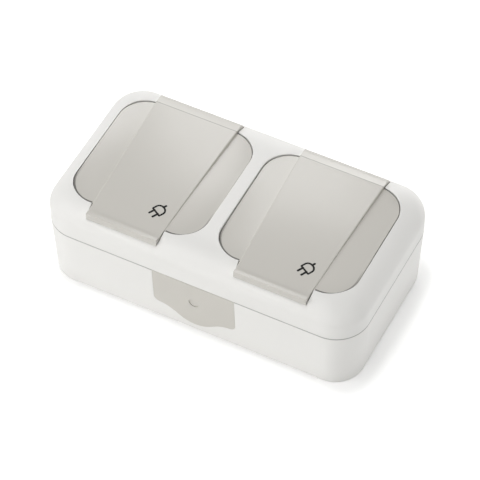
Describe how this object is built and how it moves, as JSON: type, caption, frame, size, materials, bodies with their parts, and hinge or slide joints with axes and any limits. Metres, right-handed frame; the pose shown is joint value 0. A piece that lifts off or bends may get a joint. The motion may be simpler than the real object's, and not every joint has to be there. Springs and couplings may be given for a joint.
{
  "type": "covered double socket",
  "caption": "Surface-mounted splash-protected double socket with a drafted back box, a rounded cover and sprung flap lids over earthed plug wells.",
  "frame": {"origin": "middle of the back face, on the surface it lies on", "axes": "+X along the object, from the left lid to the right lid; +Y across it, towards the hinges; +Z away from the wall"},
  "size_m": [0.15, 0.0826, 0.0508],
  "materials": {
    "housing_white": "satin moulded",
    "lid_grey": "satin moulded, pearl grey",
    "entry_grey": "fine matt, light grey",
    "well_white": "moulded",
    "block_plastic": "filled thermoset, grey",
    "seal_rubber": "soft, matt",
    "brass": "stamped",
    "spring_steel": "bright",
    "zinc_steel": "zinc plated",
    "sign_ink": "printed black"
  },
  "bodies": {
    "housing": {"back_box": "housing_white", "block_screws": "zinc_steel", "contact_block_left": "block_plastic", "contact_block_right": "block_plastic", "cover_frame": "housing_white", "cover_screws": "zinc_steel", "earth_clip_left": "brass", "earth_clip_right": "brass", "earth_link": "brass", "entry_insert": "entry_grey", "hinge_pin_left": "zinc_steel", "hinge_pin_right": "zinc_steel", "lid_spring_left": "spring_steel", "lid_spring_right": "spring_steel", "live_bus": "brass", "neutral_bus": "brass", "rim_gasket": "seal_rubber", "socket_well_left": "well_white", "socket_well_right": "well_white", "terminal_earth": "brass", "terminal_housing": "block_plastic", "terminal_live": "brass", "terminal_neutral": "brass", "terminal_screws": "zinc_steel", "well_screws": "zinc_steel"},
    "left_lid": {"lid_left": "lid_grey", "lid_seal_left": "seal_rubber"},
    "right_lid": {"lid_right": "lid_grey", "lid_seal_right": "seal_rubber"}
  },
  "joints": [
    {"name": "left_lid_hinge", "type": "hinge", "parent": "housing", "child": "left_lid", "pos_m": [-0.035, 0.0327, 0.047], "axis": [-1, 0, 0], "range_deg": [0, 100], "stiffness_Nm_per_rad": 0.012, "springref_deg": -57.3, "deforming": ["lid_spring_left"]},
    {"name": "right_lid_hinge", "type": "hinge", "parent": "housing", "child": "right_lid", "pos_m": [0.035, 0.0327, 0.047], "axis": [-1, 0, 0], "range_deg": [0, 100], "stiffness_Nm_per_rad": 0.012, "springref_deg": -57.3, "deforming": ["lid_spring_right"]}
  ]
}
